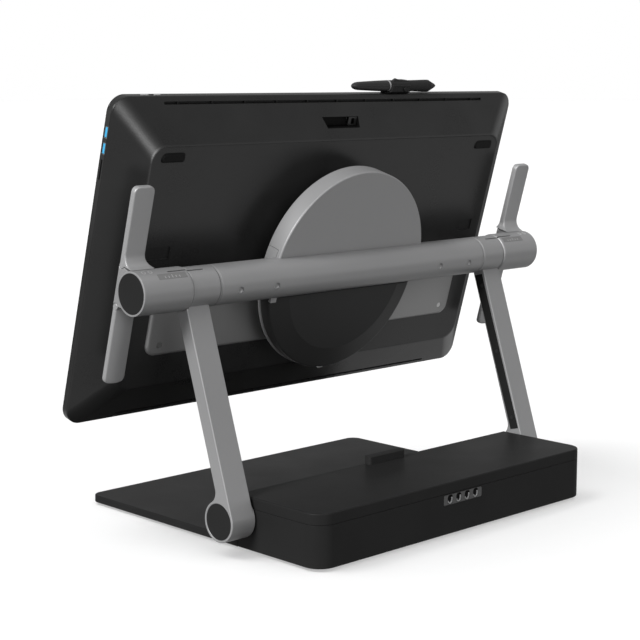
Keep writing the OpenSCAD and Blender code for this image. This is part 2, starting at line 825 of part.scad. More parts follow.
base_plate();
base_housing();
base_lid();
base_bottom();
counterweight();
base_feet();
cable_clip();
rest_bumper();
pivot_shafts();
counterbalance_springs();
base_screws();
arm();  // arm_right
mirror([1, 0, 0]) arm();  // arm_left
arm_cover();  // arm_cover_right
mirror([1, 0, 0]) arm_cover();  // arm_cover_left
arm_cover_screws();
arm_pivot_caps();
crossbar_tube();
tilt_shaft();
collar_rings();
end_housing();  // end_housing_right
mirror([1, 0, 0]) end_housing();  // end_housing_left
end_caps();
tube_plugs();
angle_windows();
hub_upper_shell();
hub_lower_shell();
hub_bracket();
hub_bearing();
lever_pins();
rotation_catch();
tilt_lever();  // tilt_lever_right
mirror([1, 0, 0]) tilt_lever();  // tilt_lever_left
height_lever();  // height_lever_right
mirror([1, 0, 0]) height_lever();  // height_lever_left
turntable_plate();
turntable_screws();
back_shell();
front_frame();
cover_glass();
display_panel();
chassis();
main_board();
fan_frames();
fan_rotor(1);  // fan_rotor_right
fan_rotor(-1);  // fan_rotor_left
module_cover();
module_screws();
rear_pads();
vent_grilles();
side_ports();
power_button();
touch_switch();
pen_holder();
pen_barrel();
pen_grip();
pen_nib();
pen_switch();
pen_ring();
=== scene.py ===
"""Looks of the pen display on its desk stand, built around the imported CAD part."""
import json
import math

import bmesh
import bpy
from mathutils import Matrix, Vector

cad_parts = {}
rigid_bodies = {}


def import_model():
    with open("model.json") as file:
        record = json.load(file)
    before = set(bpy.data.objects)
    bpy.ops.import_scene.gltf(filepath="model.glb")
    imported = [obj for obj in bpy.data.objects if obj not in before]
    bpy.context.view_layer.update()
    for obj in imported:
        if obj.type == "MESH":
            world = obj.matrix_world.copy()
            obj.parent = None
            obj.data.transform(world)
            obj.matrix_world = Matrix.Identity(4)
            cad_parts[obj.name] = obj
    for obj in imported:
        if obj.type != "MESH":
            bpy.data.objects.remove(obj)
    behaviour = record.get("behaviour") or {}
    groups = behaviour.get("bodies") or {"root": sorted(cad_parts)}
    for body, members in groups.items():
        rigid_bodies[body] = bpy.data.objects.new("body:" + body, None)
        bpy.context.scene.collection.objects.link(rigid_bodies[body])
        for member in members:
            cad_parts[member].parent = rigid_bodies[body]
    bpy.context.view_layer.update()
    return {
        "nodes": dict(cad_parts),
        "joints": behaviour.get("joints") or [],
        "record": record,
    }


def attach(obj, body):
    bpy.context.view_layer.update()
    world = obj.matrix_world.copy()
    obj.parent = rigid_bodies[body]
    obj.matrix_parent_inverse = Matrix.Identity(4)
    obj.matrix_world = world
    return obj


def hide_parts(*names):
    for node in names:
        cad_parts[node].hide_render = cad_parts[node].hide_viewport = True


for leftover in list(bpy.data.objects):
    bpy.data.objects.remove(leftover)
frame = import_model()

# ---------- frames of reference, taken from the joints; local numbers are in millimetres ----------

MM = 0.001
ACROSS = Vector((1, 0, 0))
joints = {j["name"]: j for j in frame["joints"]}


def local_frame(origin, rear):
    """A frame with +X across, +Y along rear and +Z up, whose unit is the millimetre."""
    rear = Vector(rear).normalized()
    matrix = Matrix((ACROSS, rear, ACROSS.cross(rear))).transposed().to_4x4()
    matrix.translation = origin
    return matrix @ Matrix.Scale(MM, 4)


tube_axis = Vector(joints["display_tilt"]["pos_m"])
arm_pivot = Vector(joints["arm_height"]["pos_m"])
HEAD = local_frame(tube_axis, joints["display_turn"]["axis"])
ARM = local_frame(arm_pivot, (tube_axis - arm_pivot).cross(ACROSS))
BASE = Matrix.Scale(MM, 4)
ARM_LENGTH = (tube_axis - arm_pivot).length / MM


def span(node, place):
    """Lowest and highest corner of a CAD node in a local frame, in millimetres."""
    back = place.inverted()
    points = [back @ v.co for v in frame["nodes"][node].data.vertices]
    return Vector(map(min, *points)), Vector(map(max, *points))


glass_low, glass_high = span("cover_glass", HEAD)
frame_low, frame_high = span("front_frame", HEAD)
shell_high = span("back_shell", HEAD)[1]
DISPLAY_W = frame_high.x - frame_low.x
DISPLAY_H = frame_high.z - frame_low.z
GLASS = -glass_low.y
RISE = (frame_high.z + frame_low.z) / 2
BACK = shell_high.y + GLASS


def deep(u, v, d):
    """Display terms (across, up from the middle, depth behind the glass) to the head frame."""
    return (u, d - GLASS, v + RISE)


def sideways(y, z, x):
    """Side outline (Y, Z) at a distance along X."""
    return (x, y, z)


def upright(x, y, z):
    """Plan outline (X, Y) at a height."""
    return (x, y, z)


# ---------- outlines ----------


def arc(cx, cy, r, start, end, n=8):
    """Points on an arc, both ends included, angles in degrees."""
    turns = [math.radians(start + (end - start) * i / n) for i in range(n + 1)]
    return [(cx + r * math.cos(t), cy + r * math.sin(t)) for t in turns]


def circle(r, cx=0, cy=0, n=32):
    """Points of a full circle, anticlockwise from the side of +X."""
    turns = [math.tau * i / n for i in range(n)]
    return [(cx + r * math.cos(t), cy + r * math.sin(t)) for t in turns]


def rounded(x0, x1, y0, y1, radii, n=6):
    """Box outline with rounded corners: one radius, or four from the lower left anticlockwise."""
    r = [radii] * 4 if isinstance(radii, (int, float)) else radii
    return (
        arc(x0 + r[0], y0 + r[0], r[0], 180, 270, n)
        + arc(x1 - r[1], y0 + r[1], r[1], 270, 360, n)
        + arc(x1 - r[2], y1 - r[2], r[2], 0, 90, n)
        + arc(x0 + r[3], y1 - r[3], r[3], 90, 180, n)
    )


def inset(points, d):
    """The outline moved inwards by d, with mitred corners; the points run anticlockwise."""
    moved = []
    for i, (x, y) in enumerate(points):
        before, after = Vector(points[i - 1]), Vector(points[(i + 1) % len(points)])
        here = Vector((x, y))
        first, second = (here - before).normalized(), (after - here).normalized()
        n1, n2 = Vector((-first.y, first.x)), Vector((-second.y, second.x))
        step = (n1 + n2) / max(0.3, 1 + n1.dot(n2)) * d
        moved.append((x + step.x, y + step.y))
    return moved


def edge_profile(low, high, r_low, r_high, steps=4):
    """(inset, height) pairs of a side wall whose two edges are rounded."""
    quarter = [math.pi / 2 * i / steps for i in range(steps + 1)]
    start = [(r_low * (1 - math.sin(a)), low + r_low * (1 - math.cos(a))) for a in quarter]
    stop = [(r_high * (1 - math.cos(a)), high - r_high * (1 - math.sin(a))) for a in quarter]
    return start + stop


# ---------- meshes ----------


def loft(rings):
    """Closed solid through rings that all have the same number of points."""
    bm = bmesh.new()
    loops = [[bm.verts.new(p) for p in ring] for ring in rings]
    for low, high in zip(loops, loops[1:]):
        for i in range(len(low)):
            j = (i + 1) % len(low)
            bm.faces.new((low[i], low[j], high[j], high[i]))
    bm.faces.new(loops[0][::-1])
    bm.faces.new(loops[-1])
    return bm


def slab(outline, low, high, to, r_low=0.0, r_high=0.0, steps=4):
    """An outline pushed from low to high with rounded edges, mapped by to."""
    if r_low or r_high:
        wall = edge_profile(low, high, max(r_low, 0.01), max(r_high, 0.01), steps)
    else:
        wall = [(0, low), (0, high)]
    return loft([[to(u, v, w) for u, v in inset(outline, d)] for d, w in wall])


def turned(points, centre=(0, 0), n=96):
    """Solid of revolution about a line along X through centre (Y, Z); points are (x, radius)."""
    bm = bmesh.new()
    loops = []
    for x, r in points:
        if r < 1e-6:
            loops.append([bm.verts.new((x, centre[0], centre[1]))])
            continue
        angles = [math.tau * i / n for i in range(n)]
        loops.append([bm.verts.new((x, centre[0] + r * math.cos(a), centre[1] + r * math.sin(a)))
                      for a in angles])
    for low, high in zip(loops, loops[1:]):
        for i in range(n):
            j = (i + 1) % n
            ring = [low[i % len(low)], low[j % len(low)], high[j % len(high)], high[i % len(high)]]
            bm.faces.new(list(dict.fromkeys(ring)))
    for loop in (loops[0], loops[-1]):
        if len(loop) > 2:
            bm.faces.new(loop)
    return bm


def smooth_profile(points, steps=6):
    """Catmull-Rom curve through (x, radius) points."""
    line = [points[0], *points, points[-1]]
    curve = []
    for a, b, c, d in zip(line, line[1:], line[2:], line[3:]):
        for i in range(steps):
            t = i / steps
            curve.append(tuple(
                0.5 * (2 * q + (r - p) * t + (2 * p - 5 * q + 4 * r - s) * t * t
                       + (3 * q - p - 3 * r + s) * t ** 3)
                for p, q, r, s in zip(a, b, c, d)))
    return curve + [points[-1]]


def to_object(name, bm, place):
    """The mesh as an object in the row frame."""
    bmesh.ops.recalc_face_normals(bm, faces=bm.faces)
    mesh = bpy.data.meshes.new(name)
    bm.to_mesh(mesh)
    bm.free()
    mesh.transform(place)
    made = bpy.data.objects.new(name, mesh)
    bpy.context.scene.collection.objects.link(made)
    return made


def apply_modifiers(piece):
    """Replaces the mesh by what its modifiers make of it."""
    graph = bpy.context.evaluated_depsgraph_get()
    mesh = bpy.data.meshes.new_from_object(piece.evaluated_get(graph))
    piece.modifiers.clear()
    piece.data = mesh


def combine(piece, others, how):
    """Joins solids to a piece, or cuts them out of it, and removes them."""
    for other in others:
        step = piece.modifiers.new(other.name, "BOOLEAN")
        step.operation = how
        step.solver = "EXACT"
        step.object = other
    apply_modifiers(piece)
    for other in others:
        bpy.data.objects.remove(other)
    return piece


def cut(piece, place, *solids):
    return combine(piece, [to_object(f"{piece.name}.cut", s, place) for s in solids], "DIFFERENCE")


def weld(piece, place, *solids):
    return combine(piece, [to_object(f"{piece.name}.add", s, place) for s in solids], "UNION")


def shade(piece, angle=34):
    """Smooth faces with sharp creases, and normals that keep the flats flat."""
    piece.data.shade_smooth()
    piece.data.set_sharp_from_angle(angle=math.radians(angle))
    normals = piece.modifiers.new("flat_faces", "WEIGHTED_NORMAL")
    normals.keep_sharp = True
    return piece


def place_piece(piece, body, look, stands_for=()):
    """Gives a mesh its material and its body, and hides the CAD nodes it stands for."""
    piece.data.materials.clear()
    piece.data.materials.append(LOOKS[look])
    shade(piece)
    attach(piece, body)
    if stands_for:
        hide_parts(*stands_for)
    return piece


# ---------- materials ----------

FINE_SHARE = 0.35
NOISE_LOW, NOISE_HIGH = 0.3, 0.7


def link(tree, a, b):
    tree.links.new(a, b)


def coat(name, dark, light, rough, metal=0.0, specular=0.5, grain=900.0, bump=0.1, depth=0.00004,
         mottle=14.0, clear=0.0, clear_rough=0.2, stretch=(1, 1, 1)):
    """Surface with a fine grain in its relief and roughness, and a slow drift in its tone."""
    material = bpy.data.materials.new(name)
    material.use_nodes = True
    tree = material.node_tree
    shader = tree.nodes["Principled BSDF"]
    shader.inputs["Metallic"].default_value = metal
    shader.inputs["Specular IOR Level"].default_value = specular
    shader.inputs["Coat Weight"].default_value = clear
    shader.inputs["Coat Roughness"].default_value = clear_rough
    where = tree.nodes.new("ShaderNodeTexCoord")
    scaled = tree.nodes.new("ShaderNodeMapping")
    scaled.inputs["Scale"].default_value = stretch
    link(tree, where.outputs["Object"], scaled.inputs["Vector"])
    fine = tree.nodes.new("ShaderNodeTexNoise")
    fine.inputs["Scale"].default_value = grain
    fine.inputs["Detail"].default_value = 3
    slow = tree.nodes.new("ShaderNodeTexNoise")
    slow.inputs["Scale"].default_value = mottle
    slow.inputs["Detail"].default_value = 4
    for noise in (fine, slow):
        link(tree, scaled.outputs["Vector"], noise.inputs["Vector"])
    blend = tree.nodes.new("ShaderNodeMath")
    blend.operation = "MULTIPLY_ADD"
    blend.inputs[1].default_value = FINE_SHARE
    link(tree, fine.outputs["Fac"], blend.inputs[0])
    spread = tree.nodes.new("ShaderNodeMath")
    spread.operation = "MULTIPLY"
    spread.inputs[1].default_value = 1 - FINE_SHARE
    link(tree, slow.outputs["Fac"], spread.inputs[0])
    link(tree, spread.outputs["Value"], blend.inputs[2])
    tone = tree.nodes.new("ShaderNodeValToRGB")
    tone.color_ramp.elements[0].position = NOISE_LOW
    tone.color_ramp.elements[1].position = NOISE_HIGH
    tone.color_ramp.elements[0].color = (*dark, 1)
    tone.color_ramp.elements[1].color = (*light, 1)
    link(tree, blend.outputs["Value"], tone.inputs["Fac"])
    link(tree, tone.outputs["Color"], shader.inputs["Base Color"])
    sheen = tree.nodes.new("ShaderNodeMapRange")
    sheen.inputs["From Min"].default_value = NOISE_LOW
    sheen.inputs["From Max"].default_value = NOISE_HIGH
    sheen.inputs["To Min"].default_value = rough - 0.05
    sheen.inputs["To Max"].default_value = rough + 0.05
    link(tree, blend.outputs["Value"], sheen.inputs["Value"])
    link(tree, sheen.outputs["Result"], shader.inputs["Roughness"])
    relief = tree.nodes.new("ShaderNodeBump")
    relief.inputs["Strength"].default_value = bump
    relief.inputs["Distance"].default_value = depth
    link(tree, fine.outputs["Fac"], relief.inputs["Height"])
    link(tree, relief.outputs["Normal"], shader.inputs["Normal"])
    return material


def grey(value, tint=1.0):
    return (value, value, value * tint)


LOOKS = {
    "base_plastic": coat("base_plastic", grey(0.010), grey(0.013), 0.48, specular=0.07, grain=1400,
                         bump=0.35),
    "dark_plastic": coat("dark_plastic", grey(0.010), grey(0.013), 0.4, specular=0.12, grain=1600, bump=0.15),
    # painted shade: a near-black look for recesses, slits and the sheet behind the clip, darker than the
    # parts around them
    "recess_painted_shade": coat("recess_painted_shade", grey(0.003), grey(0.004), 0.6, specular=0.05, grain=1500, bump=0.1),
    "pad_black": coat("pad_black", grey(0.003), grey(0.0045), 0.5, specular=0.12, grain=1200, bump=0.3),
    "clip_grey": coat("clip_grey", grey(0.05), grey(0.06), 0.45, specular=0.3, grain=1500, bump=0.15),
    "hub_dark": coat("hub_dark", grey(0.018), grey(0.022), 0.45, specular=0.15, grain=1600, bump=0.15),
    "shell_black": coat("shell_black", grey(0.010), grey(0.013), 0.3, specular=0.34, grain=1500, bump=0.2),
    "grey_coat": coat("grey_coat", grey(0.215, 1.01), grey(0.24, 1.01), 0.45, metal=0.35, grain=2600,
                      bump=0.12, mottle=5),
    "lever_coat": coat("lever_coat", grey(0.25, 1.01), grey(0.275, 1.01), 0.45, metal=0.35, grain=2600,
                       bump=0.12, mottle=5),
    "module_grey": coat("module_grey", grey(0.22), grey(0.245), 0.34, metal=0.5, grain=2200, bump=0.12,
                        mottle=4),
    "window_grey": coat("window_grey", grey(0.11), grey(0.125), 0.5, grain=2000, bump=0.1),
    "light_ring": coat("light_ring", grey(0.5), grey(0.56), 0.3, metal=0.6, grain=2400, bump=0.06),
    "steel": coat("steel", grey(0.42), grey(0.5), 0.3, metal=0.95, grain=700, bump=0.1,
                  stretch=(0.08, 1, 1)),
    "black_steel": coat("black_steel", grey(0.02), grey(0.028), 0.38, metal=0.5, grain=1500, bump=0.1),
    "rubber": coat("rubber", grey(0.008), grey(0.012), 0.75, specular=0.2, grain=1200, bump=0.4),
    "screen_glass": coat("screen_glass", grey(0.004), grey(0.0045), 0.24, specular=0.4, grain=3200,
                         bump=0.05, clear=0.5, clear_rough=0.18),
    "screen_off": coat("screen_off", grey(0.0095), grey(0.0105), 0.2, specular=0.45, grain=3200, bump=0.03,
                       clear=0.5, clear_rough=0.12),
    "panel_black": coat("panel_black", grey(0.01), grey(0.012), 0.2, grain=2000, bump=0.03),
    "cast_metal": coat("cast_metal", grey(0.4), grey(0.47), 0.5, metal=0.8, grain=500, bump=0.3),
    "board_green": coat("board_green", (0.01, 0.07, 0.03), (0.012, 0.09, 0.04), 0.35, grain=600,
                        bump=0.1),
    "port_metal": coat("port_metal", grey(0.42), grey(0.5), 0.28, metal=0.95, grain=1500, bump=0.06),
    "port_blue": coat("port_blue", (0.03, 0.28, 0.5), (0.04, 0.33, 0.57), 0.4, grain=1500, bump=0.08),
    "pen_black": coat("pen_black", grey(0.01), grey(0.013), 0.38, specular=0.35, grain=1800, bump=0.12),
    "pen_rubber": coat("pen_rubber", grey(0.007), grey(0.01), 0.6, specular=0.25, grain=1500, bump=0.3),
}

slot_of = {p["node"]: p["material_slot"] for p in frame["record"]["subparts"]}
for node, shown in frame["nodes"].items():
    shown.data.materials.clear()
    shown.data.materials.append(LOOKS[slot_of[node]])


# ---------- display ----------

LOCK_FLOOR = 17.0
RIM = 10.0
SEAM = 8.7
SIDE_SLOPE = 42.0
TOP_SLOPE = 49.5
CORNER = 20.0
FRAME_WALL_W, FRAME_WALL_H = 13, 12
USB_V = (136.8, 155.3)
CARD_V = 112.5
INLET_V = (-60, -85, -112)
PORT_DEPTH = 12.4
BUTTON_SLOTS = ((286.4, 297.6), (269.4, 284.6))
SCREEN_W, SCREEN_H = 521, 293
VENT_HALF, VENT_V = 270, (188.4, 191.6)
LOCK_OUTLINE = [(-31, 160.6), (24, 160.6), (31, 173), (-31, 173)]
PAD_U, PAD_V = (248.5, 281.5), (129, 140)
PAD_CORNERS = (3, 2.6, 7.8, 3)
POCKET_U, POCKET_V = (247, 279), (12, 28)


def shell_ring(t, d):
    """Outline of the back at a share t of the slope and a depth d."""
    half_w = DISPLAY_W / 2 - SIDE_SLOPE * t
    half_h = DISPLAY_H / 2 - TOP_SLOPE * t
    outline = rounded(-half_w, half_w, -half_h, half_h, CORNER, 10)
    return [deep(u, v, d) for u, v in outline]


def bend(start, corner, end, steps=5):
    """Quadratic curve between two (share, depth) points past a corner."""
    points = []
    for i in range(steps + 1):
        s = i / steps
        points.append(tuple((1 - s) ** 2 * a + 2 * s * (1 - s) * b + s * s * c
                            for a, b, c in zip(start, corner, end)))
    return points


def on_slope(t):
    """(share, depth) of a point on the straight slope of the back."""
    return (t, RIM + (BACK - RIM) * t)


def back_shell():
    """Sloped back with its vent slits, lock recess and pockets; the faces in the lock recess and the vent
    slits are painted darker, as painted shade.
    """
    lip = 0.4 / TOP_SLOPE
    path = [(lip, SEAM + 0.05), (0, SEAM + 0.45)]
    path += bend((0, RIM - 0.7), (0, RIM), on_slope(0.03))
    path += bend(on_slope(0.955), on_slope(1), (1.035, BACK))
    shell = to_object("tablet_back", loft([shell_ring(t, d) for t, d in path]), HEAD)
    vents = [slab(rounded(-VENT_HALF, VENT_HALF, *sorted(s * v for v in VENT_V), 1.4), 4, 22, deep)
             for s in (-1, 1)]
    lock = slab(LOCK_OUTLINE, LOCK_FLOOR, 45, deep)
    slot = slab(rounded(-27, -19, 162.5, 170.5, 1.4), LOCK_FLOOR - 8, 30, deep)
    pockets = [slab(rounded(*sorted(s * u for u in POCKET_U), *POCKET_V, 1.5), BACK - 1.6, BACK + 5, deep)
               for s in (-1, 1)]
    cut(shell, HEAD, *vents, lock, slot, *pockets)
    place_piece(shell, "display", "shell_black", stands_for=["back_shell"])
    shell.data.materials.append(LOOKS["recess_painted_shade"])
    head = HEAD.inverted()
    for face in shell.data.polygons:
        u, y, z = head @ face.center
        v, d = z - RISE, y + GLASS
        slope_depth = BACK - (v - DISPLAY_H / 2 + TOP_SLOPE) * 0.6
        in_lock = abs(u) < 31.2 and 160 < v < 173.5 and d < slope_depth
        in_vent = abs(u) < VENT_HALF + 1 and 188 < abs(v) < 192 and d > 14.5
        # painted shade: faces inside the lock recess and the vent slits get the darker look
        if in_lock or in_vent:
            face.material_index = 1


def lock_plate():
    """Slotted plate at one end of the lock recess."""
    outline = rounded(-30.8, -16, 161.2, 172.4, 0.6, 2)
    sheet = slab(outline, LOCK_FLOOR + 5, LOCK_FLOOR + 6.4, deep, 0, 0.3, 2)
    plate = to_object("lock_plate", sheet, HEAD)
    cut(plate, HEAD, slab(rounded(-26.5, -20.5, 163, 170.6, 1.6, 4), LOCK_FLOOR, LOCK_FLOOR + 9, deep))
    place_piece(plate, "display", "shell_black")


def front_frame():
    """Side wall of the display, with openings for the ports and the two top controls."""
    outline = rounded(frame_low.x, frame_high.x, frame_low.z - RISE, frame_high.z - RISE, CORNER, 10)
    low = frame_low.y + GLASS
    ring = to_object("tablet_frame", slab(outline, low, SEAM, deep, 0.3, 0.4), HEAD)
    half_w, half_h = DISPLAY_W / 2, DISPLAY_H / 2
    inside = rounded(FRAME_WALL_W - half_w, half_w - FRAME_WALL_W, FRAME_WALL_H - half_h,
                     half_h - FRAME_WALL_H, 10)
    holes = [slab(inside, low - 1, SEAM + 1, deep)]
    for v in USB_V:
        socket = rounded(v - 6.8, v + 6.8, 2.5, 8.1, 0.6)
        holes.append(slab(socket, half_w - PORT_DEPTH, half_w + 1, port_side))
    card = rounded(CARD_V - 12, CARD_V + 12, 3.6, 6.4, 0.8)
    holes.append(slab(card, half_w - PORT_DEPTH, half_w + 1, port_side))
    for v in INLET_V:
        inlet = rounded(v - 6, v + 6, 2.6, 8.2, 0.6)
        holes.append(slab(inlet, -half_w - 1, -half_w + PORT_DEPTH, port_side))
    for x0, x1 in BUTTON_SLOTS:
        holes.append(slab(rounded(x0, x1, half_h - 5, half_h + 1, 0.2), 3.4, 6.6, deep))
    cut(ring, HEAD, *holes)
    place_piece(ring, "display", "shell_black", stands_for=["front_frame"])


def port_side(v, d, x):
    """Outline (up, depth) on a side wall at a distance along X."""
    return deep(x, v, d)


def tube_port(name, v, half, d0, d1, x0, x1, open_end, look):
    """Metal sleeve of a socket, open towards the outside."""
    wall = 0.45
    shell = to_object(name, slab(rounded(v - half, v + half, d0, d1, 0.9), x0, x1, port_side), HEAD)
    inner = (x0 + 1, x1 + 1) if open_end > 0 else (x0 - 1, x1 - 1)
    hollow = rounded(v - half + wall, v + half - wall, d0 + wall, d1 - wall, 0.6)
    cut(shell, HEAD, slab(hollow, *inner, port_side))
    return place_piece(shell, "display", look)


def side_ports():
    """Two blue-tongued sockets and a card slot on one side, and three inlets on the other."""
    edge = DISPLAY_W / 2
    for i, v in enumerate(USB_V):
        sleeve = tube_port(f"usb_sleeve_{i}", v, 6.6, 2.7, 7.9, edge - 12, edge - 0.25, 1, "port_metal")
        if i == 0:
            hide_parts("side_ports")
        tongue = slab(rounded(v - 5.6, v + 5.6, 3.2, 6.4, 0.4), edge - 11.4, edge - 0.5, port_side, 0, 0.3)
        place_piece(to_object(f"usb_tongue_{i}", tongue, HEAD), "display", "port_blue")
    tube_port("card_slot", CARD_V, 11.8, 3.8, 6.2, edge - 12, edge - 0.3, 1, "dark_plastic")
    for i, v in enumerate(INLET_V):
        tube_port(f"inlet_{i}", v, 5.8, 2.8, 8.0, 0.3 - edge, 12 - edge, -1, "port_metal")


def cover_glass():
    """Glass over the whole front, with the dark picture area a shade lighter than its border."""
    outline = rounded(glass_low.x, glass_high.x, glass_low.z - RISE, glass_high.z - RISE, CORNER, 12)
    glass = to_object("front_glass", slab(outline, 0, glass_high.y + GLASS, deep, 0.7, 0.1, 5), HEAD)
    place_piece(glass, "display", "screen_glass", stands_for=["cover_glass"])
    area = rounded(-SCREEN_W / 2, SCREEN_W / 2, -SCREEN_H / 2, SCREEN_H / 2, 0.8, 3)
    picture = slab(area, -0.03, 0.6, deep)
    place_piece(to_object("screen_area", picture, HEAD), "display", "screen_off")


def vent_grilles():
    """Ribbed strips inside the two vent slits."""
    for s, name in ((1, "top"), (-1, "bottom")):
        low, high = sorted((s * 188.6, s * 191.5))
        strip = to_object(f"vent_{name}", slab(rounded(-269, 269, low, high, 1.2), 10.2, 11.0, deep), HEAD)
        ribs = [slab(rounded(x - 0.8, x + 0.8, low, high, 0.2), 10.9, 13.4, deep)
                for x in range(-250, 251, 50)]
        weld(strip, HEAD, *ribs)
        place_piece(strip, "display", "dark_plastic")
        if s > 0:
            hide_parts("vent_grilles")


def rear_pads():
    """Stepped pads near the upper corners of the flat back, and lips at the lower pockets."""
    for s, name in ((1, "right"), (-1, "left")):
        outline = rounded(*sorted(s * u for u in PAD_U), *PAD_V, PAD_CORNERS, 5)
        pad = to_object(f"rear_pad_{name}", slab(outline, BACK - 0.5, BACK + 0.9, deep, 0, 0.4), HEAD)
        weld(pad, HEAD, slab(inset(outline, 1.1), BACK, BACK + 1.6, deep, 0, 0.6))
        place_piece(pad, "display", "pad_black")
        if s > 0:
            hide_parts("rear_pads")
        left, right = sorted(s * u for u in POCKET_U)
        bottom, top = POCKET_V
        lip = slab([(left, bottom), (right, bottom), (right, bottom + 1.2), (left + 1.2, bottom + 1.2),
                    (left + 1.2, top), (left, top)], BACK - 1.7, BACK + 0.15, deep, 0, 0.25, 2)
        place_piece(to_object(f"pocket_lip_{name}", lip, HEAD), "display", "shell_black")


def module():
    """Panel with a rounded rim behind the hub, and a well for each of its screws."""
    low, high = span("module_cover", HEAD)
    v0, v1 = low.z - RISE, high.z - RISE
    outline = rounded(low.x, high.x, v0, v1, 14, 8)
    top = high.y + GLASS
    wall = [(0.6, BACK - 0.4), (0, BACK + 0.3), (0, BACK + 1.6)]
    wall += [(4.2 * (1 - math.cos(a)), BACK + 1.6 + (top - BACK - 1.6) * math.sin(a))
             for a in [math.pi / 2 * i / 6 for i in range(1, 7)]]
    cover = to_object("rear_module", loft([[deep(u, v, d) for u, v in inset(outline, i)]
                                           for i, d in wall]), HEAD)
    wells = [plug_deep(s * 244, v0 + 13.5, top - 1.4, top + 2, 3.7) for s in (-1, 1)]
    cut(cover, HEAD, *wells)
    place_piece(cover, "display", "module_grey", stands_for=["module_cover"])


def plug_deep(x, v, d0, d1, r):
    """Round plug through the display's depth."""
    return loft([[deep(u, w, d) for u, w in circle(r, x, v)] for d in (d0, d1)])


# ---------- hub ----------

HUB_SEAM = -27.0
HUB_FACE_R = 96
GROOVE_X = (116, 127)


def disc_part(r, floor=None, ceiling=None, n=96):
    """Circle cut off by a level line, above it or below it."""
    if floor is not None:
        a = math.degrees(math.asin(floor / r))
        return arc(0, 0, r, a, 180 - a, n)
    a = math.degrees(math.asin(ceiling / r))
    return arc(0, 0, r, 180 - a, 360 + a, n)


def facing(x, z, y):
    """Outline (X, Z) in the head frame at a distance Y behind the crossbar axis."""
    return (x, y, z)


def hub():
    """Grey upper and dark lower shell, with a light rim that runs round both."""
    low, high = span("hub_upper_shell", HEAD)
    r, rear, rim_back = high.x, high.y, low.y + 2.6
    lower_low, lower_high = span("hub_lower_shell", HEAD)
    lower_r = lower_high.x
    drop = -lower_low.z - lower_r
    upper_outline = disc_part(r, floor=HUB_SEAM)
    wall = [(0, rim_back - 0.3), (0, rear - 1.9), (0.35, rear - 1.1), (1.1, rear - 0.35), (2.0, rear)]
    upper = to_object("hub_upper", loft([[facing(x, z, y) for x, z in inset(upper_outline, i)]
                                         for i, y in wall]), HEAD)
    ring = arc(0, 0, r, 0, 180, 64) + arc(0, -drop, r, 180, 360, 64)
    weld(upper, HEAD, slab(ring, low.y, rim_back, facing, 0.3, 0.3, 2))
    grooves = []
    for s in (-1, 1):
        across_wall = sorted(s * x for x in GROOVE_X)
        grooves.append(slab(rounded(*across_wall, -30, -6.2, 0.1, 1), 32, 32.5, upright))
        grooves.append(slab(rounded(*across_wall, -6.7, -6.2, 0.1, 1), 10, 32.2, upright))
    cut(upper, HEAD, *grooves)
    place_piece(upper, "head", "grey_coat", stands_for=["hub_upper_shell"])

    outlines = {r: [(x, z - drop) for x, z in disc_part(r, ceiling=HUB_SEAM + drop - 0.4)]
                for r in (lower_r, HUB_FACE_R)}
    edge = [(lower_r, 0, rim_back + 0.2), (lower_r, 0, -7.8), (lower_r, 0.4, -6.9), (lower_r, 1.2, -6.2),
            (lower_r, 2.6, -5.8), (HUB_FACE_R, 0, -0.55), (HUB_FACE_R, 0.6, -0.35)]
    lower = to_object("hub_lower", loft([[facing(x, z, y) for x, z in inset(outlines[k], i)]
                                         for k, i, y in edge]), HEAD)
    bottom = lower_low.z
    window = slab(rounded(-3.3, 3.3, bottom - 3, bottom + 6, 0.8), -20.3, -14.7, facing)
    place_piece(cut(lower, HEAD, window), "head", "hub_dark", ["hub_lower_shell"])


# ---------- crossbar ----------

PLUG_X = (142, 198)
SLOT_IN, SLOT_OUT = 244, 296
SLOT_TURN = 77.6
WINDOW_TURN = 62
WINDOW_X = (273, 313)
TICKS = ((283, 0.4), (288, 0.4), (293, 2.2), (298, 0.4), (303, 0.4))
MARK_X = (318, 327)
HOUSING_R = span("end_housing_right", HEAD)[1].y
HOUSING_IN, HOUSING_OUT = (span("end_housing_right", HEAD)[i].x for i in (0, 1))
BLADE_IN, BLADE_OUT = 308.5, 336.5
BLADE_FRONT, BLADE_REAR = -28.6, -20.6
PIN_Y, PIN_Z = -24.6, 24.6
KNUCKLE_R = 3.9
PIN_WRAP = 4.2
TIP_R, TIP_EDGE = 7, 1.8
SIDE_FILLET, SIDE_FILLET_END = 10, 33.2
REAR_FILLET, REAR_FILLET_END = 14.5, 39.1


def crossbar():
    """Tube with a well for each plug."""
    high = span("crossbar_tube", HEAD)[1]
    r, end = high.z, high.x
    wall = [(-end, r - 0.9), (-end + 0.3, r - 0.3), (-end + 0.9, r)]
    wall += [(-x - s * 6, r) for x in PLUG_X[::-1] for s in (1, -1)]
    bar = to_object("crossbar", turned(wall + [(-x, s) for x, s in wall[::-1]], n=128), HEAD)
    wells = [plug_rear(s * x, [(4.3, r - 1.9), (4.3, r + 2)]) for s in (-1, 1) for x in PLUG_X]
    cut(bar, HEAD, *wells)
    place_piece(bar, "head", "grey_coat", stands_for=["crossbar_tube"])


def plug_rear(x, rings):
    """Round solid from the crossbar's axis towards the rear; rings are (radius, Y)."""
    return loft([[facing(u, w, y) for u, w in circle(r, x)] for r, y in rings])


def around(angle, centre=(0, 0)):
    """(along X, along the girth, radius) at an angle about a line along X, to a local frame."""
    c, s = math.cos(math.radians(angle)), math.sin(math.radians(angle))
    return lambda x, t, r: (x, centre[0] + r * c - t * s, centre[1] + r * s + t * c)


